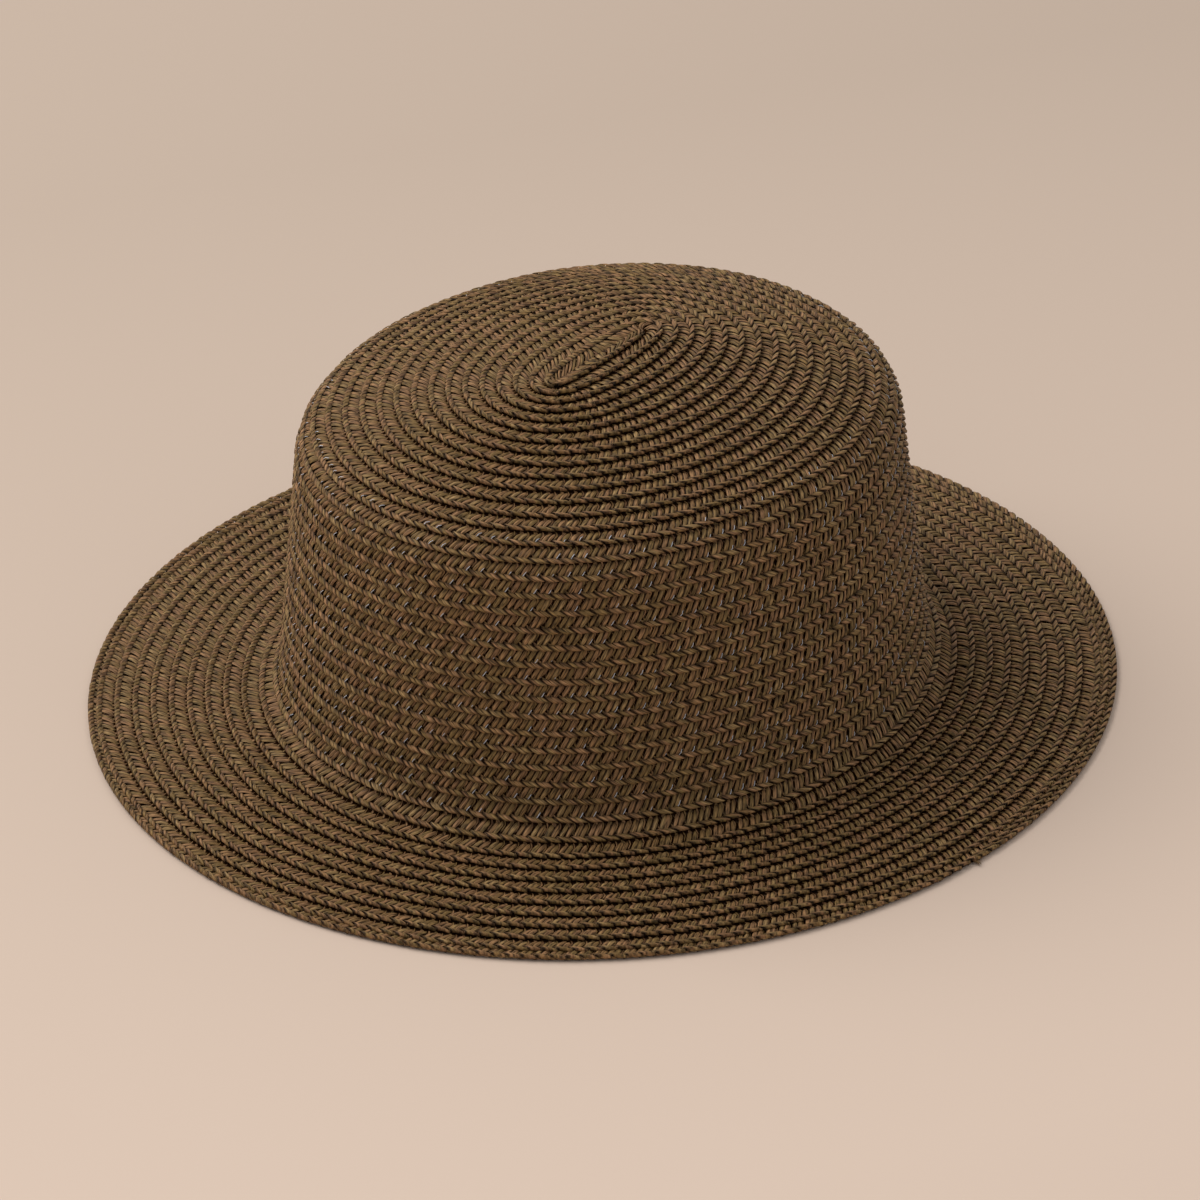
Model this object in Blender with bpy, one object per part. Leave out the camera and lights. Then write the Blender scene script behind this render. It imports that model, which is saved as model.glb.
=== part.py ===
"""Straw hat: a flat-topped crown and a level brim, wound from one flat sewn braid.

Metres, +Z up, front of the hat at -Y. The brim's edge lies flat on z = 0 and the head opening is
centred on the Z axis. Every row of braid is an oval loop round the short straight seam at the
middle of the tip, and each row's outer edge laps over the next row.
"""
import math

import bmesh
import bpy

# Head opening: inside of the wall at the foot of the crown.
HEAD_WIDTH = 0.172
HEAD_LENGTH = 0.198

# Crown: its height above the foot, its wall, its round corner and its slightly domed tip.
CROWN_HEIGHT = 0.1005
WALL_FLARE = math.radians(6.5)
CORNER_RADIUS = 0.0145
TIP_FALL = math.radians(20.5)
FORWARD_LEAN = 0.0041
START_SEAM = 0.039

# Foot of the wall and brim: reach from the wall, fall to the edge, then a bend to the level
# doubled turn of braid that the hat rests on.
FOOT_RADIUS = 0.0105
BRIM_WIDTH = 0.055
BRIM_FALL = math.radians(5.0)
EDGE_BEND = 0.0015
EDGE_TURN = 0.0030

# Braid: what shows of a row, how far its edge stands proud, and the wall of straw under it.
ROW_WIDTH = 0.0052
ROW_STEP = 0.0006
ROW_TUCK = 0.0007
STRAW = 0.0020
SEAM_GAP = 0.0003

# Oval shape: sides start straight beside the seam and bow out as the rows grow.
SIDE_BOW = 1.45
BOW_ROWS = 20
SEAM_ROWS = 7
AROUND = 52
LINING_ROWS = 4
LINING_TURN = math.radians(14.0)

STRAW_COLOUR = {"crown": (0.118, 0.066, 0.029), "brim": (0.108, 0.060, 0.026)}


def clear_scene():
    for thing in list(bpy.data.objects):
        bpy.data.objects.remove(thing, do_unlink=True)


def straw(name):
    material = bpy.data.materials.new(name + "_straw")
    material.use_nodes = True
    shader = material.node_tree.nodes["Principled BSDF"]
    shader.inputs["Base Color"].default_value = (*STRAW_COLOUR[name], 1.0)
    shader.inputs["Roughness"].default_value = 0.72
    shader.inputs["Metallic"].default_value = 0.0
    return material


def walk(points, length, slope, end_slope, steps):
    """Carry the profile on for a length while it turns evenly from one slope to another."""
    reach, height, _ = points[-1]
    for step in range(steps):
        middle = slope + (end_slope - slope) * (step + 0.5) / steps
        reach += length / steps * math.cos(middle)
        height -= length / steps * math.sin(middle)
        points.append((reach, height, slope + (end_slope - slope) * (step + 1) / steps))


def hat_profile():
    """Outer half section, from the middle of the tip to the brim's edge, and its two run lengths.

    A point is (reach from the seam, height, slope below level). The tip's reach and the wall's
    length are the two unknowns that make the crown's width and height come out as named.
    """
    steep = math.pi / 2 - WALL_FLARE
    foot_reach = HEAD_WIDTH / 2 + STRAW
    turn = CORNER_RADIUS * (math.sin(steep) - math.sin(TIP_FALL))
    drop = CORNER_RADIUS * (math.cos(TIP_FALL) - math.cos(steep))
    foot_drop = FOOT_RADIUS * (math.cos(BRIM_FALL) - math.cos(steep))
    span = foot_reach - turn
    rise = CROWN_HEIGHT - drop - foot_drop
    dome = math.tan(TIP_FALL / 2)
    wall = (rise - span * dome) / (math.sin(steep) - math.cos(steep) * dome)
    tip_reach = span - wall * math.cos(steep)

    points = [(0.0, 0.0, 0.0)]
    walk(points, tip_reach * TIP_FALL / math.sin(TIP_FALL), 0.0, TIP_FALL, 60)
    walk(points, CORNER_RADIUS * (steep - TIP_FALL), TIP_FALL, steep, 24)
    walk(points, wall, steep, steep, 60)
    foot = FOOT_RADIUS * (steep - BRIM_FALL)
    walk(points, foot / 2, steep, (steep + BRIM_FALL) / 2, 12)
    crown_run = len(points) - 1
    walk(points, foot / 2, (steep + BRIM_FALL) / 2, BRIM_FALL, 12)
    sloping = foot_reach + BRIM_WIDTH - EDGE_TURN - EDGE_BEND - points[-1][0]
    walk(points, sloping / math.cos(BRIM_FALL), BRIM_FALL, BRIM_FALL, 40)
    walk(points, EDGE_BEND * BRIM_FALL / math.sin(BRIM_FALL), BRIM_FALL, 0.0, 4)
    walk(points, EDGE_TURN, 0.0, 0.0, 1)

    lift = STRAW - points[-1][1]
    points = [(reach, height + lift, slope) for reach, height, slope in points]
    runs = [0.0]
    for (r0, h0, _), (r1, h1, _) in zip(points, points[1:]):
        runs.append(runs[-1] + math.hypot(r1 - r0, h1 - h0))
    return points, runs, crown_run


def at(profile, run):
    """Reach, height and slope at a length along the profile."""
    points, runs, _ = profile
    run = min(max(run, 0.0), runs[-1])
    low, high = 0, len(runs) - 1
    while high - low > 1:
        middle = (low + high) // 2
        if runs[middle] > run:
            high = middle
        else:
            low = middle
    share = (run - runs[low]) / (runs[high] - runs[low])
    return [a + (b - a) * share for a, b in zip(points[low], points[high])]


def oval(profile, run, lift):
    """One loop of the hat at a length along the profile, lifted off it along its normal.

    The loop is the outline whose edge stands reach + stretch(angle) away from the centre in each
    direction: level curves of that kind keep an even row width all the way round.
    """
    reach, height, slope = at(profile, run)
    reach += lift * math.sin(slope)
    height += lift * math.cos(slope)
    row = run / ROW_WIDTH
    end = (HEAD_LENGTH - HEAD_WIDTH) / 2
    stretch = end + (START_SEAM / 2 - end) * math.exp(-row / SEAM_ROWS)
    bow = 0.04 + SIDE_BOW * min(1.0, row / BOW_ROWS)
    scale = stretch / (math.hypot(1.0, bow) - bow)
    foot_height = at(profile, profile[1][profile[2]])[1]
    lean = FORWARD_LEAN * max(0.0, height - foot_height) / CROWN_HEIGHT
    loop = []
    for step in range(AROUND):
        angle = 2 * math.pi * step / AROUND
        cosine, sine = math.cos(angle), math.sin(angle)
        root = math.hypot(sine, bow)
        out = reach + scale * (root - bow)
        along = scale * sine * cosine / root
        loop.append((out * cosine - along * sine, out * sine + along * cosine - lean, height))
    return loop


def outer_rows(profile, start, end, first):
    """Loops down the outside: each row rises to its proud edge, then tucks in under it."""
    rows = max(2, round((end - start) / ROW_WIDTH - first))
    width = (end - start) / (rows + first)
    loops = []
    for row in range(rows + 1):
        edge = start + width * (row + first)
        if row or first:
            loops.append(oval(profile, edge, ROW_STEP))
        if row < rows:
            loops.append(oval(profile, edge + ROW_TUCK, 0.0))
    return loops


def lining(profile, start, end, level=0.0):
    """Loops back up the inside, close together only where the section turns.

    A level stretch at the end gets a loop at each of its sides, so that it is flat.
    """
    marks = [start]
    steps = int((end - start) / (ROW_WIDTH / 2))
    for step in range(1, steps):
        run = start + (end - start) * step / steps
        turned = abs(at(profile, run)[2] - at(profile, marks[-1])[2])
        if turned > LINING_TURN or run - marks[-1] > LINING_ROWS * ROW_WIDTH:
            marks.append(run)
    if end - marks[-1] < ROW_WIDTH and len(marks) > 1:
        marks.pop()
    marks += [end - level, end] if level else [end]
    return [oval(profile, run, -STRAW) for run in reversed(marks)]


def loft(name, loops, closed, collection):
    """Skin a row of loops; close it on itself, or fill both end loops."""
    mesh = bpy.data.meshes.new(name)
    shape = bmesh.new()
    rings = [[shape.verts.new(point) for point in loop] for loop in loops]
    pairs = list(zip(rings, rings[1:]))
    if closed:
        pairs.append((rings[-1], rings[0]))
    else:
        shape.faces.new(rings[0])
        shape.faces.new(reversed(rings[-1]))
    for upper, lower in pairs:
        for step in range(AROUND):
            ahead = (step + 1) % AROUND
            shape.faces.new((upper[step], lower[step], lower[ahead], upper[ahead]))
    bmesh.ops.recalc_face_normals(shape, faces=shape.faces)
    shape.to_mesh(mesh)
    shape.free()
    mesh.materials.append(straw(name))
    mesh.shade_smooth()
    mesh.set_sharp_from_angle(angle=math.radians(40))
    piece = bpy.data.objects.new(name, mesh)
    collection.objects.link(piece)
    return piece


def crown(profile, collection):
    """Tip, corner and wall: a cup that opens downward, closed at the seam and at its lining."""
    _, runs, last = profile
    end = runs[last] - SEAM_GAP / 2
    loops = outer_rows(profile, 0.0, end, 0.5)
    loops += lining(profile, ROW_WIDTH, end)
    return loft("crown", loops, False, collection)


def brim(profile, collection):
    """The rows outward from the foot: a flat ring with the head opening through it."""
    _, runs, last = profile
    start = runs[last] + SEAM_GAP / 2
    loops = outer_rows(profile, start, runs[-1], 0.0)
    loops += lining(profile, start, runs[-1], EDGE_TURN)
    return loft("brim", loops, True, collection)


def main():
    clear_scene()
    hat = bpy.data.collections.new("straw_hat")
    bpy.context.scene.collection.children.link(hat)
    profile = hat_profile()
    crown(profile, hat)
    brim(profile, hat)


main()
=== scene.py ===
"""Straw hat on a pale floor: one flat braid, plaited cord by cord and sewn in a spiral.

Metres, +Z up, front of the hat at -Y. The braid is laid on the hat's own surface. A point of it
has a length along the braid, a depth in from the braid's outer edge and a lift off the surface.
"""
import math

import bpy
import numpy as np
from mathutils import Matrix, Vector


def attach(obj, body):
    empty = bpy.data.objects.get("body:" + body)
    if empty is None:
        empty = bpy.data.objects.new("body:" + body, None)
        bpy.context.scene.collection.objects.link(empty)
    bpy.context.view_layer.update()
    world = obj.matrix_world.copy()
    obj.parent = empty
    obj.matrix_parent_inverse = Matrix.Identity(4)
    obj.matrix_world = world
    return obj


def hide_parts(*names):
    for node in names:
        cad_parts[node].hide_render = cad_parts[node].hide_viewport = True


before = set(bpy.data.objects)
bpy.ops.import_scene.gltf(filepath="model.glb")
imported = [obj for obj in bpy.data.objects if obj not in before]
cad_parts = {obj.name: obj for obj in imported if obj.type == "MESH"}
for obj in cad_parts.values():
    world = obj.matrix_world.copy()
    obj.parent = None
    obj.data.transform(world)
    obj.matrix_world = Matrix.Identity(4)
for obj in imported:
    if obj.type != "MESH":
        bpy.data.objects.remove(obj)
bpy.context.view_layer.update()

MM = 0.001

# The hat's form, as its solids have it.
HEAD_WIDTH = 0.172
HEAD_LENGTH = 0.198
CROWN_HEIGHT = 0.1005
WALL_FLARE = math.radians(6.5)
CORNER_RADIUS = 0.0145
TIP_FALL = math.radians(20.5)
FORWARD_LEAN = 0.0041
START_SEAM = 0.039
FOOT_RADIUS = 0.0105
BRIM_WIDTH = 0.055
BRIM_FALL = math.radians(5.0)
EDGE_BEND = 0.0015
EDGE_TURN = 0.0030
ROW_WIDTH = 0.0052
STRAW = 0.0020

# How the rows round the seam grow into the head's oval: bow of its sides, and rows that it takes.
SEAM_BOW = 0.04
SIDE_BOW = 1.45
BOW_ROWS = 20
SEAM_ROWS = 7

# The spiral, in turns.
START_TURN = -0.03
END_TURN = 42.0228
SPIRAL_STEP = 0.0002

# The braid's outer edge, in rows from the tip's middle: at turn 0, before the last turn, and on it.
FIRST_LINE = 0.675
LAST_LINE = 41.05
EDGE_LINE = 41.5

# The last turn: where the braid moves out to the brim's edge, and over how much of a turn.
EDGE_STARTS = 40.991
EDGE_RAMP = 0.045

# Rows at which the outer face's pieces meet, at which the edge is wrapped, and past which is none.
TIP_ENDS = 14.2
WALL_BREAK = 22.8
BRIM_BREAK = 37.2
WRAP_STARTS = EDGE_LINE - 0.02
PAST_EDGE = 42.0

# The braid: length of one pitch, fall across a row, and the share of it that its edge stands up.
PITCH = 0.00395
ROW_TILT = 0.00105
EDGE_STAND = 0.12

# Share of the wall's gaps that show thread, pale as a painted glint, and the loose fibres at the
# braid's end.
THREAD_SHARE = 0.6
FRAY_FIBRES = 14
FRAY_INSET = 0.5 * MM

# The dark ground, a sheet whose near-black colour is painted shade: depth under each face, inset
# from the edge, and grids of (rows, places round).
GROUND_DEPTH = 0.00145
GROUND_COVER = 0.0004
GROUND_INSET = 0.0008
CROWN_GRID = (72, 100)
BRIM_GRID = (20, 160)

# Space round each strand in its cell of the bake map, as a share of the cell.
CELL_MARGIN = 0.06

# Colours of the cords by their tone, and how far the fibres shift from one tone to another.
STRAW_COLOURS = (
    (0.0, (0.112, 0.054, 0.024)), (0.25, (0.235, 0.128, 0.060)), (0.5, (0.184, 0.102, 0.041)),
    (0.75, (0.160, 0.098, 0.035)), (1.0, (0.252, 0.158, 0.068)))
TONE_SHIFT = 37.0

# Camera.
AZIMUTH = math.radians(35.37)
ELEVATION = math.radians(29.61)
ROLL = math.radians(0.43)
DISTANCE = 1.774
TARGET = (-0.0018, 0.0249)
LENS = 186.2

# The floor: half its side, its colours, and where and in which direction it grows lighter, a painted
# fall-off of the light.
FLOOR_HALF = 6.0
FLOOR_BACK = (0.468, 0.371, 0.300)
FLOOR_FRONT = (0.633, 0.501, 0.412)
FLOOR_DIRECTION = (0.844, -0.536, 0.0)
FLOOR_SHADE = (-0.35, 0.25)

# The light: a square panel, by its bearing from the camera's own, and an even sky.
KEY_BEARING = -105
KEY_HEIGHT = 1.7
KEY_DISTANCE = 1.3
KEY_SIZE = 1.8
KEY_POWER = 36.0
SKY_STRENGTH = 0.66

SEED = 20611
rng = np.random.default_rng(SEED)


def linked(name, data):
    """A new object of this data, in the scene."""
    thing = bpy.data.objects.new(name, data)
    bpy.context.collection.objects.link(thing)
    return thing


# The hat's surface.

def walk(points, length, slope, end_slope, steps):
    """Carry the profile on for a length while it turns evenly from one slope to another."""
    reach, height, _ = points[-1]
    for step in range(steps):
        middle = slope + (end_slope - slope) * (step + 0.5) / steps
        reach += length / steps * math.cos(middle)
        height -= length / steps * math.sin(middle)
        points.append((reach, height, slope + (end_slope - slope) * (step + 1) / steps))


def hat_profile():
    """Outer half section from the tip's middle to the edge: runs, points, index of the foot."""
    steep = math.pi / 2 - WALL_FLARE
    foot_reach = HEAD_WIDTH / 2 + STRAW
    turn = CORNER_RADIUS * (math.sin(steep) - math.sin(TIP_FALL))
    drop = CORNER_RADIUS * (math.cos(TIP_FALL) - math.cos(steep))
    foot_drop = FOOT_RADIUS * (math.cos(BRIM_FALL) - math.cos(steep))
    span = foot_reach - turn
    rise = CROWN_HEIGHT - drop - foot_drop
    dome = math.tan(TIP_FALL / 2)
    wall = (rise - span * dome) / (math.sin(steep) - math.cos(steep) * dome)
    tip_reach = span - wall * math.cos(steep)
    points = [(0.0, 0.0, 0.0)]
    walk(points, tip_reach * TIP_FALL / math.sin(TIP_FALL), 0.0, TIP_FALL, steps=60)
    walk(points, CORNER_RADIUS * (steep - TIP_FALL), TIP_FALL, steep, steps=24)
    walk(points, wall, steep, steep, steps=60)
    foot = FOOT_RADIUS * (steep - BRIM_FALL)
    walk(points, foot / 2, steep, (steep + BRIM_FALL) / 2, steps=12)
    foot_index = len(points) - 1
    walk(points, foot / 2, (steep + BRIM_FALL) / 2, BRIM_FALL, steps=12)
    sloping = foot_reach + BRIM_WIDTH - EDGE_TURN - EDGE_BEND - points[-1][0]
    walk(points, sloping / math.cos(BRIM_FALL), BRIM_FALL, BRIM_FALL, steps=40)
    walk(points, EDGE_BEND * BRIM_FALL / math.sin(BRIM_FALL), BRIM_FALL, 0.0, steps=4)
    walk(points, EDGE_TURN, 0.0, 0.0, steps=1)
    points = np.array(points)
    points[:, 1] += STRAW - points[-1, 1]
    steps = np.hypot(*np.diff(points[:, :2], axis=0).T)
    runs = np.concatenate([[0.0], np.cumsum(steps)])
    beyond = 0.02
    runs = np.concatenate([[-beyond], runs, [runs[-1] + beyond]])
    first = points[0] + (-beyond, 0.0, 0.0)
    last = points[-1] + (beyond, 0.0, 0.0)
    return runs, np.vstack([first, points, last]), foot_index + 1


RUNS, PROFILE, FOOT_INDEX = hat_profile()
FOOT_RUN = RUNS[FOOT_INDEX]
EDGE_RUN = RUNS[-2]
FOOT_ROW = FOOT_RUN / EDGE_RUN * EDGE_LINE


def surface(run, angle, lift):
    """Points at a run down the profile, an angle round the head and a lift off the straw."""
    run, angle = np.broadcast_arrays(run, angle)
    reach, height, slope = (np.interp(run, RUNS, PROFILE[:, k]) for k in range(3))
    reach = reach + lift * np.sin(slope)
    height = height + lift * np.cos(slope)
    row = np.maximum(run, 0.0) / ROW_WIDTH
    end = (HEAD_LENGTH - HEAD_WIDTH) / 2
    stretch = end + (START_SEAM / 2 - end) * np.exp(-row / SEAM_ROWS)
    bow = SEAM_BOW + SIDE_BOW * np.minimum(1.0, row / BOW_ROWS)
    scale = stretch / (np.hypot(1.0, bow) - bow)
    lean = FORWARD_LEAN * np.maximum(0.0, height - PROFILE[FOOT_INDEX, 1]) / CROWN_HEIGHT
    across, ahead = np.cos(angle), np.sin(angle)
    root = np.hypot(ahead, bow)
    out = reach + scale * (root - bow)
    along = scale * ahead * across / root
    return np.stack([out * across - along * ahead, out * ahead + along * across - lean, height], -1)


# The spiral.

def smooth(value):
    """0 to 1 with a soft start and end."""
    value = np.clip(value, 0.0, 1.0)
    return value * value * (3.0 - 2.0 * value)


def row_line(turns):
    """Rows from the tip's middle to the braid's outer edge, after a number of turns."""
    line = np.minimum(FIRST_LINE + turns, LAST_LINE)
    return line + (EDGE_LINE - LAST_LINE) * smooth((turns - EDGE_STARTS) / EDGE_RAMP)


def outer_run(turns):
    """Run down the profile to the braid's outer edge, after a number of turns."""
    return row_line(turns) * EDGE_RUN / EDGE_LINE


TURNS = np.arange(START_TURN, END_TURN, SPIRAL_STEP)
MIDDLE_LINE = surface(outer_run(TURNS) - ROW_WIDTH / 2, -2 * math.pi * TURNS, 0.0)
LENGTHS = np.concatenate(
    [[0.0], np.cumsum(np.linalg.norm(np.diff(MIDDLE_LINE, axis=0), axis=1))])


def braid_points(length, depth, lift):
    """Points at a length along the braid, a depth in from its outer edge and a lift."""
    turns = np.interp(length, LENGTHS, TURNS)
    return surface(outer_run(turns) - depth, -2 * math.pi * turns, lift)


def pitch_starts(first_row, last_row):
    """Lengths along the braid of each pitch whose outer edge lies between two rows."""
    starts = np.arange(0.0, LENGTHS[-1] - PITCH, PITCH)
    rows = row_line(np.interp(starts, LENGTHS, TURNS))
    return starts[(rows >= first_row) & (rows < last_row)]


# Strands.

class Weave:
    """Collects strips of quads, then makes one mesh of them with its maps."""

    def __init__(self):
        self.points = []
        self.faces = []
        self.maps = []
        self.cells = []
        self.numbers = []
        self.tones = []
        self.point_count = 0
        self.strand_count = 0

    def strands(self, length, depth, lift, tone, over=(0.0, 1.0), along=(0.0, 1.0)):
        """Strips: arrays of (strand, station, across). One tone a strand, and the parts of the
        shading map's width and length that each has; the straw material paints shade where this map
        nears its sides and ends."""
        strands, stations, across = length.shape
        index = self.point_count + np.arange(length.size).reshape(length.shape)
        quads = np.stack([index[:, :-1, :-1], index[:, :-1, 1:],
                          index[:, 1:, 1:], index[:, 1:, :-1]], -1)
        numbers = self.strand_count + np.arange(strands)
        self.points.append(braid_points(length, depth, lift).reshape(-1, 3))
        self.faces.append(quads.reshape(-1, 4))
        self.maps.append(strip_map(length.shape, along, over))
        self.cells.append(strip_map(length.shape, (0.0, 1.0), (0.0, 1.0)))
        self.numbers.append(np.repeat(numbers, stations * across))
        self.tones.append(np.repeat(tone, stations * across))
        self.point_count += length.size
        self.strand_count += strands

    def atlas(self):
        """A square map with one small cell a strand."""
        numbers = np.concatenate(self.numbers)
        side = math.ceil(math.sqrt(self.strand_count))
        place = np.stack([numbers % side, numbers // side], -1)
        return (place + CELL_MARGIN + (1 - 2 * CELL_MARGIN) * np.concatenate(self.cells)) / side

    def build(self, name, material):
        """One smooth mesh of all the strips, with its shading map, its bake map and the tones."""
        points = np.concatenate(self.points)
        faces = np.concatenate(self.faces)
        corners = faces.ravel()
        mesh = bpy.data.meshes.new(name)
        mesh.vertices.add(len(points))
        mesh.vertices.foreach_set("co", points.ravel())
        mesh.loops.add(len(corners))
        mesh.loops.foreach_set("vertex_index", corners)
        mesh.polygons.add(len(faces))
        mesh.polygons.foreach_set("loop_start", np.arange(0, len(corners), 4))
        mesh.polygons.foreach_set("use_smooth", np.ones(len(faces), bool))
        for title, places in (("Strand", np.concatenate(self.maps)), ("OFBake", self.atlas())):
            layer = mesh.uv_layers.new(name=title)
            layer.data.foreach_set("uv", places[corners].ravel())
        tone = mesh.attributes.new("tone", "FLOAT", "POINT")
        tone.data.foreach_set("value", np.concatenate(self.tones))
        mesh.update()
        mesh.validate()
        mesh.materials.append(material)
        return linked(name, mesh)


def strip_map(shape, along, over):
    """Map places of strips of (strand, station, across): along their length, over their width."""
    grid = np.meshgrid(np.linspace(*along, shape[1]), np.linspace(*over, shape[2]), indexing="ij")
    return np.broadcast_to(np.stack(grid, -1), (*shape, 2)).reshape(-1, 2)


def strip(middle_length, middle_depth, middle_lift, half_width, rise, across):
    """Points across an arched strip, square to its middle line in the braid's own plane.

    The arrays are (strand, station). rise is the height of the arch's middle over its sides.
    """
    length_step = np.gradient(middle_length, axis=1)
    depth_step = np.gradient(middle_depth, axis=1)
    step = np.hypot(length_step, depth_step)
    side = np.linspace(-1, 1, across)
    offset = half_width[..., None] * side
    length = middle_length[..., None] - (depth_step / step)[..., None] * offset
    depth = middle_depth[..., None] + (length_step / step)[..., None] * offset
    lift = middle_lift[..., None] - rise[..., None] * side ** 2
    return length, depth, lift


def base(depth):
    """Height of a row's body: its outer edge lies on the next row, its inner edge is tucked in."""
    return ROW_TILT * (EDGE_STAND - depth / ROW_WIDTH)


def jitter(count, amount):
    """One small random shift a strand."""
    return rng.normal(0.0, amount, count)[:, None]


def tones(count, low, high):
    """One random tone a strand."""
    return rng.uniform(low, high, count)


def mid_cords(weave, starts):
    """Two broad cords a pitch that lean across the row, with a wedge of a gap after each pair."""
    count = len(starts)
    way = np.linspace(0, 1, 5)[None]
    hump = np.sin(math.pi * (0.06 + 0.86 * way)) ** 0.7
    for outer, inner, over in ((0.44, -1.86, (0.0, 0.86)), (1.92, -0.38, (0.14, 1.0))):
        depth = (1.22 + 3.75 * way) * MM + jitter(count, 0.08 * MM)
        lean = outer + (inner - outer) * way
        length = starts[:, None] + lean * MM + jitter(count, 0.09 * MM)
        lift = base(depth) + (-0.84 + 0.80 * hump) * MM + jitter(count, 0.06 * MM)
        width = (0.65 + 0.08 * way) * MM * (0.50 + 0.50 * hump) * (1 + jitter(count, 0.08))
        cords = strip(length, depth, lift, width, np.full_like(width, 0.42 * MM), 4)
        weave.strands(*cords, tones(count, 0.15, 1.0), over, (0.10, 0.93))


def selvage(weave, starts):
    """A pair of slanting cords a pitch that turn down over the braid's outer edge."""
    count = len(starts)
    depths = np.array([0.42, 0.02, 0.14, 0.80, 1.66])[None] * MM
    lifts = np.array([-1.10, -0.68, 0.20, 0.32, -0.14])[None] * MM
    halves = np.array([0.90, 0.97, 0.98, 0.87, 0.73])[None] * MM
    side = np.linspace(-1, 1, 4)
    for place, low, over in ((2.14, 0.17, (0.05, 0.55)), (3.86, -0.06, (0.45, 0.98))):
        depth = depths + jitter(count, 0.04 * MM)
        slant = place * MM + 1.5 * np.maximum(depth, 0.0)
        middle = starts[:, None] + slant + jitter(count, 0.08 * MM)
        length = middle[..., None] + halves[..., None] * side
        round_off = (0.20 * side ** 2 + low * (1 - side)) * MM
        lift = (base(depths) + lifts + jitter(count, 0.04 * MM))[..., None] - round_off
        depth = np.broadcast_to(depth[..., None], length.shape)
        weave.strands(length, depth, lift, tones(count, 0.1, 1.0), over, (0.0, 0.90))


def inner_cords(weave, starts):
    """Cords at the row's inner side: one runs on down the gap, one stays under the row before. Their
    tones run from 0 to 0.8, taking in the ramp's darkest and leaving out its lightest: a little
    painted shade for cords deep in the plait.
    """
    count = len(starts)
    depth = np.array([2.2, 3.1, 4.1, 5.2, 6.2])[None] * MM + jitter(count, 0.06 * MM)
    lean = np.array([-1.15, -1.70, -2.30, -2.10, -1.45])[None] * MM
    length = starts[:, None] + lean + jitter(count, 0.08 * MM)
    lift = base(depth) + np.array([-0.95, -0.75, -0.60, -0.45, -0.45])[None] * MM
    width = np.array([0.26, 0.32, 0.38, 0.50, 0.60])[None] * MM + jitter(count, 0.03 * MM)
    rise = np.full_like(width, 0.24 * MM)
    weave.strands(*strip(length, depth, lift, width, rise, 3), tones(count, 0.0, 0.8))
    way = np.linspace(0, 1, 4)[None]
    hump = np.sin(math.pi * (0.10 + 0.80 * way))
    depth = (4.2 + 2.2 * way) * MM + jitter(count, 0.06 * MM)
    length = starts[:, None] + (-0.75 + 1.5 * way) * MM + jitter(count, 0.08 * MM)
    lift = base(depth) + (-0.76 + 0.40 * hump) * MM
    width = np.full_like(lift, 0.80 * MM)
    rise = np.full_like(lift, 0.30 * MM)
    weave.strands(*strip(length, depth, lift, width, rise, 3), tones(count, 0.0, 0.8))


def threads(weave, starts):
    """Fine sewing thread, seen in some of the gaps; its pale grey colour is a painted glint of the
    clear nylon.
    """
    starts = starts[rng.random(len(starts)) < THREAD_SHARE]
    count = len(starts)
    lean = np.array([-0.10, -0.60, -1.15])[None] * MM
    length = starts[:, None] + lean + jitter(count, 0.12 * MM)
    depth = np.array([1.35, 2.1, 2.9])[None] * MM + jitter(count, 0.15 * MM)
    arch = np.array([-0.55, -0.10, -0.45])[None] * MM
    lift = base(depth) + arch + jitter(count, 0.12 * MM)
    width = np.full_like(depth, 0.085 * MM)
    rise = np.full_like(depth, 0.06 * MM)
    weave.strands(*strip(length, depth, lift, width, rise, 3), rng.random(count))


def edge_wrap(weave, starts):
    """Cords that turn round the brim's edge, from its upper face to its lower one."""
    count = len(starts)
    way = np.linspace(0, 1, 7)[None]
    bend = math.pi * (1.0 - way)
    out = np.sin(bend)
    side = np.linspace(-1, 1, 4)
    half = 0.92 * MM * (0.6 + 0.4 * out)
    round_off = 0.22 * MM * side ** 2
    for place in (0.0, 1.975):
        middle = starts[:, None] + (place + 2.6 * (1.0 - way)) * MM + jitter(count, 0.08 * MM)
        lift = (-0.98 - 0.62 * np.cos(bend)) * MM + jitter(count, 0.03 * MM)
        length = middle[..., None] + half[..., None] * side
        depth = ((1.1 - 1.02 * out ** 0.8) * MM)[..., None] + round_off * out[..., None]
        lift = lift[..., None] + round_off * np.cos(bend)[..., None]
        weave.strands(length, depth, lift, rng.random(count), (0.08, 0.92), (0.2, 0.8))


def frayed_end(weave, place, count):
    """Short loose fibres that stand out of the brim's edge."""
    start = place + rng.uniform(-1.2, 1.2, count)[:, None] * MM
    way = np.linspace(0, 1, 4)[None]
    reach = rng.uniform(0.9, 2.0, count)[:, None]
    length = start + rng.uniform(-0.9, 0.9, count)[:, None] * way * MM
    depth = (0.8 - (0.8 + reach) * way) * MM
    lift = (-0.9 + rng.uniform(-0.5, 0.5, count)[:, None] * way) * MM
    width = 0.22 * MM * (1.1 - way) * np.ones_like(depth)
    fibres = strip(length, depth, lift, width, np.full_like(depth, 0.10 * MM), 3)
    weave.strands(*fibres, rng.random(count), (0.3, 0.7), (0.3, 0.7))


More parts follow.
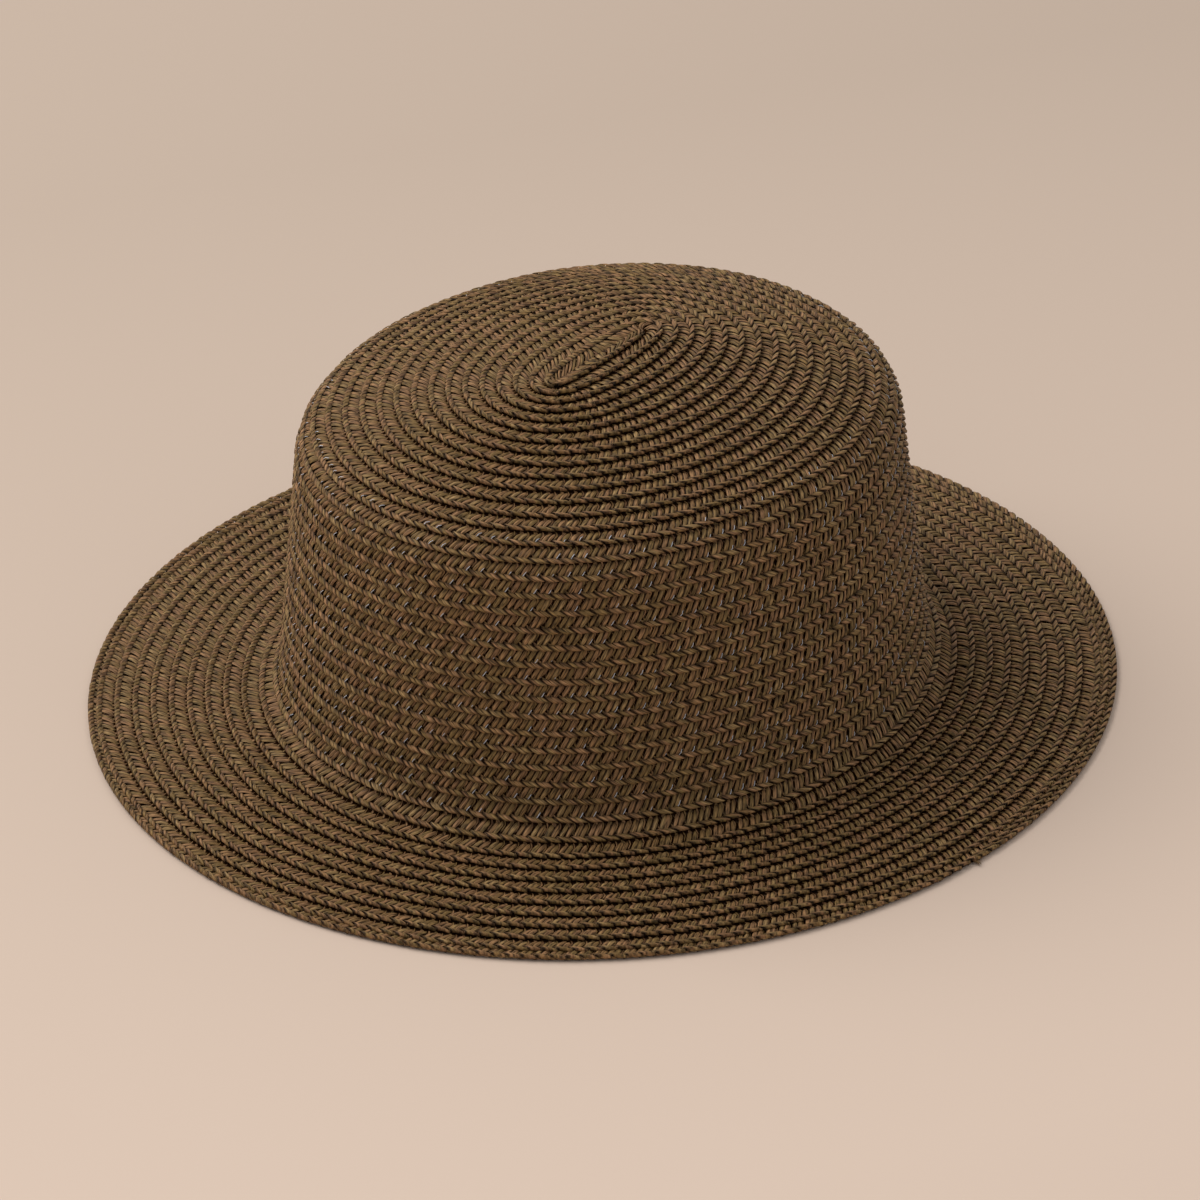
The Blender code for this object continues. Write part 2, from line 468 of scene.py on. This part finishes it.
def under_cords(weave, starts):
    """The plait's other face, seen inside the crown and under the brim.

    Widths below zero turn the faces of these strips inwards.
    """
    count = len(starts)
    way = np.linspace(0, 1, 3)[None]
    hump = np.sin(math.pi * (0.1 + 0.8 * way))
    for place in (0.85, 2.75):
        depth = (0.6 + 3.8 * way) * MM
        length = starts[:, None] + (place - 1.0 + 2.0 * way) * MM + jitter(count, 0.10 * MM)
        lift = -STRAW + (0.68 - 0.45 * hump) * MM + 0.6 * MM * (0.5 - depth / ROW_WIDTH)
        width = np.full_like(lift, -0.85 * MM)
        rise = np.full_like(lift, -0.35 * MM)
        weave.strands(*strip(length, depth, lift, width, rise, 3), rng.random(count))
    way = np.linspace(0, 1, 4)[None]
    hump = np.sin(math.pi * (0.06 + 0.88 * way))
    depth = (4.9 - 0.9 * way) * MM
    length = starts[:, None] + 4.6 * way * MM
    lift = -STRAW + (0.43 - 0.40 * hump) * MM
    width = -0.60 * MM * (0.4 + 0.6 * hump)
    rise = np.full_like(lift, -0.30 * MM)
    weave.strands(*strip(length, depth, lift, width, rise, 3), rng.random(count))


# Ground.

def ring_angles(around):
    """Even angles round the head."""
    return np.linspace(0, 2 * math.pi, around, endpoint=False)


def ground_edge(around):
    """Runs to the brim ground's outer side, which follows the braid's edge, one an angle."""
    turns = END_TURN - (ring_angles(around) / (2 * math.pi) + END_TURN) % 1.0
    return outer_run(turns) - GROUND_INSET


def ground(name, first_run, last_run, grid, material):
    """Dark sheet between the braid's two faces, out to one run or to a run an angle; its near-black
    colour is painted shade for the plait's deep gaps.
    """
    rows, around = grid
    runs = first_run + np.linspace(0, 1, rows)[:, None] * (last_run - first_run)
    angles = ring_angles(around)[None]
    outer = surface(runs, angles, -GROUND_DEPTH)
    inner = surface(runs, angles, -STRAW + GROUND_COVER)
    points = np.concatenate([outer.reshape(-1, 3), inner[::-1].reshape(-1, 3)])
    rings = 2 * rows
    # A sheet that starts on the seam's line has no rim there.
    bands = rings if first_run > 0.0 else rings - 1
    faces = []
    for ring in range(bands):
        following = (ring + 1) % rings
        for side in range(around):
            turn = (side + 1) % around
            faces.append((ring * around + side, ring * around + turn,
                          following * around + turn, following * around + side))
    mesh = bpy.data.meshes.new(name)
    mesh.from_pydata(points.tolist(), [], faces)
    mesh.validate()
    mesh.update()
    mesh.materials.append(material)
    return linked(name, mesh)


# Materials.

def node(tree, kind, **settings):
    """A new shader node with these settings."""
    made = tree.nodes.new(kind)
    for key, value in settings.items():
        setattr(made, key, value)
    return made


def straw_material(name, colours):
    """Dyed straw cord: a colour a strand, fine fibre lines along it, and painted shade at its sides
    and ends, where the cords dip under one another.
    """
    material = bpy.data.materials.new(name)
    material.use_nodes = True
    tree = material.node_tree
    shader = tree.nodes["Principled BSDF"]
    shader.inputs["Roughness"].default_value = 0.62
    shader.inputs["Specular IOR Level"].default_value = 0.16
    link = tree.links.new

    tone = node(tree, "ShaderNodeAttribute", attribute_name="tone")
    ramp = node(tree, "ShaderNodeValToRGB")
    stops = ramp.color_ramp.elements
    stops.remove(stops[1])
    stops[0].color = (*colours[0][1], 1)
    for place, colour in colours[1:]:
        stops.new(place).color = (*colour, 1)
    link(tone.outputs["Fac"], ramp.inputs["Fac"])

    strand = node(tree, "ShaderNodeUVMap", uv_map="Strand")
    parts = node(tree, "ShaderNodeSeparateXYZ")
    link(strand.outputs["UV"], parts.inputs[0])
    shift = node(tree, "ShaderNodeMath", operation="MULTIPLY_ADD")
    shift.inputs[1].default_value = TONE_SHIFT
    link(tone.outputs["Fac"], shift.inputs[0])
    link(parts.outputs["Y"], shift.inputs[2])
    fibre_place = node(tree, "ShaderNodeCombineXYZ")
    link(shift.outputs[0], fibre_place.inputs["X"])
    link(parts.outputs["X"], fibre_place.inputs["Y"])
    stretch = node(tree, "ShaderNodeMapping")
    stretch.inputs["Scale"].default_value = (4.6, 1.7, 1.0)
    link(fibre_place.outputs[0], stretch.inputs["Vector"])
    fibres = node(tree, "ShaderNodeTexNoise")
    fibres.inputs["Scale"].default_value = 1.0
    fibres.inputs["Detail"].default_value = 3.0
    link(stretch.outputs[0], fibres.inputs["Vector"])
    lines = node(tree, "ShaderNodeMapRange")
    lines.inputs["From Min"].default_value = 0.35
    lines.inputs["From Max"].default_value = 0.65
    lines.inputs["To Min"].default_value = 0.28
    lines.inputs["To Max"].default_value = 1.62
    link(fibres.outputs["Fac"], lines.inputs["Value"])

    # Painted shade: the colour falls towards near black at each strand's sides and ends, standing
    # for the shade where the cords dip into the plait.
    sides = fall_off(tree, parts.outputs["Y"], 0.25)
    ends = fall_off(tree, parts.outputs["X"], 0.25)
    round_off = node(tree, "ShaderNodeMath", operation="MULTIPLY")
    link(sides, round_off.inputs[0])
    link(ends, round_off.inputs[1])
    # Mix towards the near black of the painted shade, by the sides-and-ends mask.
    painted_shade = node(tree, "ShaderNodeMix", data_type="RGBA", blend_type="MIX")
    painted_shade.inputs["A"].default_value = (0.016, 0.0062, 0.0016, 1)
    link(round_off.outputs[0], painted_shade.inputs["Factor"])
    shade = node(tree, "ShaderNodeMix", data_type="RGBA", blend_type="MULTIPLY")
    shade.inputs["Factor"].default_value = 1.0
    link(ramp.outputs["Color"], shade.inputs["A"])
    link(lines.outputs["Result"], shade.inputs["B"])
    link(shade.outputs["Result"], painted_shade.inputs["B"])
    link(painted_shade.outputs["Result"], shader.inputs["Base Color"])
    return material


def fall_off(tree, value, margin):
    """1 in the middle of a 0-to-1 coordinate, falling smoothly to 0 at both its ends."""
    centred = node(tree, "ShaderNodeMath", operation="PINGPONG")
    centred.inputs[1].default_value = 0.5
    tree.links.new(value, centred.inputs[0])
    ramp = node(tree, "ShaderNodeMapRange", interpolation_type="SMOOTHSTEP")
    ramp.inputs["From Min"].default_value = 0.0
    ramp.inputs["From Max"].default_value = margin
    tree.links.new(centred.outputs[0], ramp.inputs["Value"])
    return ramp.outputs["Result"]


def plain_material(name, colour, roughness, specular=0.5):
    """One even colour."""
    material = bpy.data.materials.new(name)
    material.use_nodes = True
    shader = material.node_tree.nodes["Principled BSDF"]
    shader.inputs["Base Color"].default_value = (*colour, 1)
    shader.inputs["Roughness"].default_value = roughness
    shader.inputs["Specular IOR Level"].default_value = specular
    return material


# Stage.

def camera():
    """Long lens, above the front of the hat on the wearer's left."""
    lens = bpy.data.cameras.new("camera")
    lens.lens = LENS
    lens.sensor_width = 36.0
    lens.clip_start = 0.05
    lens.clip_end = 60.0
    thing = linked("camera", lens)
    bpy.context.scene.camera = thing
    sin_a, cos_a = math.sin(AZIMUTH), math.cos(AZIMUTH)
    sin_e, cos_e = math.sin(ELEVATION), math.cos(ELEVATION)
    back = Vector((sin_a * cos_e, -cos_a * cos_e, sin_e))
    right = Vector((cos_a, sin_a, 0.0))
    up = back.cross(right)
    rolled = right * math.cos(ROLL) + up * math.sin(ROLL)
    rolled_up = -right * math.sin(ROLL) + up * math.cos(ROLL)
    target = Vector((TARGET[0] * cos_a, TARGET[0] * sin_a, TARGET[1]))
    matrix = Matrix((rolled, rolled_up, back)).transposed().to_4x4()
    matrix.translation = target + back * DISTANCE
    thing.matrix_world = matrix


def area_light(name, place, aim, size, power, colour):
    """A square panel that faces the point it aims at."""
    lamp = bpy.data.lights.new(name, "AREA")
    lamp.shape = "SQUARE"
    lamp.size = size
    lamp.energy = power
    lamp.color = colour
    thing = linked(name, lamp)
    thing.location = place
    thing.rotation_euler = (Vector(aim) - Vector(place)).to_track_quat("-Z", "Y").to_euler()


def around_view(bearing, height, distance):
    """A place by its bearing from the camera's own, anticlockwise from above, in degrees."""
    turn = AZIMUTH + math.radians(bearing)
    return (math.sin(turn) * distance, -math.cos(turn) * distance, height)


def floor_material():
    """Matt paper with painted light: a little darker towards the back of the view."""
    material = plain_material("floor_paper", FLOOR_FRONT, 0.9)
    tree = material.node_tree
    place = node(tree, "ShaderNodeTexCoord")
    ahead = node(tree, "ShaderNodeVectorMath", operation="DOT_PRODUCT")
    ahead.inputs[1].default_value = FLOOR_DIRECTION
    tree.links.new(place.outputs["Object"], ahead.inputs[0])
    part = node(tree, "ShaderNodeMapRange")
    part.inputs["From Min"].default_value = FLOOR_SHADE[0]
    part.inputs["From Max"].default_value = FLOOR_SHADE[1]
    tree.links.new(ahead.outputs["Value"], part.inputs["Value"])
    # Painted light: the floor's colour goes from darker at the back to lighter at the front.
    colour = node(tree, "ShaderNodeMix", data_type="RGBA", blend_type="MIX")
    colour.inputs["A"].default_value = (*FLOOR_BACK, 1)
    colour.inputs["B"].default_value = (*FLOOR_FRONT, 1)
    tree.links.new(part.outputs["Result"], colour.inputs["Factor"])
    tree.links.new(colour.outputs["Result"], tree.nodes["Principled BSDF"].inputs["Base Color"])
    return material


def stage():
    """Floor with painted light, darker towards the back, even sky and one soft key light."""
    corners = ((-1, -1), (1, -1), (1, 1), (-1, 1))
    mesh = bpy.data.meshes.new("floor")
    mesh.from_pydata([(FLOOR_HALF * x, FLOOR_HALF * y, 0) for x, y in corners], [], [(0, 1, 2, 3)])
    mesh.materials.append(floor_material())
    linked("floor", mesh)
    world = bpy.data.worlds.new("studio")
    world.use_nodes = True
    bpy.context.scene.world = world
    sky = world.node_tree.nodes["Background"]
    sky.inputs["Color"].default_value = (1.0, 0.985, 0.97, 1)
    sky.inputs["Strength"].default_value = SKY_STRENGTH
    place = around_view(KEY_BEARING, KEY_HEIGHT, KEY_DISTANCE)
    area_light("key", place, (0, 0, 0.05), KEY_SIZE, KEY_POWER, (1.0, 0.98, 0.95))


# The hat.

def main():
    """Camera and stage, then the hat piece by piece."""
    bpy.context.scene.view_settings.view_transform = "Standard"
    camera()
    stage()
    straw = straw_material("plaited_straw", STRAW_COLOURS)
    # Near-black painted shade for the ground sheet, standing for the plait's depths where little
    # light reaches.
    painted_shade = plain_material("straw_shadow", (0.010, 0.0035, 0.0008), 0.95, 0.0)
    # Pale grey painted glint: clear nylon thread, coloured as it looks where it catches the light.
    painted_glint_thread = plain_material("thread_painted_glint", (0.50, 0.51, 0.56), 0.18, 0.9)

    outside = (("tip_braid", "crown", 0.0, TIP_ENDS),
               ("wall_braid_upper", "crown", TIP_ENDS, WALL_BREAK),
               ("wall_braid_lower", "crown", WALL_BREAK, FOOT_ROW),
               ("brim_braid_inner", "brim", FOOT_ROW, BRIM_BREAK),
               ("brim_braid_outer", "brim", BRIM_BREAK, PAST_EDGE))
    for name, part, first, last in outside:
        starts = pitch_starts(first, last)
        weave = Weave()
        mid_cords(weave, starts)
        selvage(weave, starts)
        inner_cords(weave, starts)
        if last > EDGE_LINE:
            edge_wrap(weave, pitch_starts(WRAP_STARTS, last))
            frayed_end(weave, LENGTHS[-1] - FRAY_INSET, FRAY_FIBRES)
        finish_piece(weave.build(name, straw), part)
    weave = Weave()
    threads(weave, pitch_starts(TIP_ENDS, FOOT_ROW))
    finish_piece(weave.build("sewing_thread_painted_glint", painted_glint_thread), "crown")
    for name, part, first, last in (("crown_underside", "crown", 0.0, FOOT_ROW),
                                    ("brim_underside", "brim", FOOT_ROW, PAST_EDGE)):
        weave = Weave()
        under_cords(weave, pitch_starts(first, last))
        finish_piece(weave.build(name, straw), part)
    finish_piece(ground("crown_ground", 0.0, FOOT_RUN, CROWN_GRID, painted_shade), "crown")
    finish_piece(ground("brim_ground", FOOT_RUN, ground_edge(BRIM_GRID[1]), BRIM_GRID, painted_shade), "brim")


def finish_piece(thing, part):
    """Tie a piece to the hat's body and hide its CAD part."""
    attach(thing, "root")
    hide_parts(part)


main()
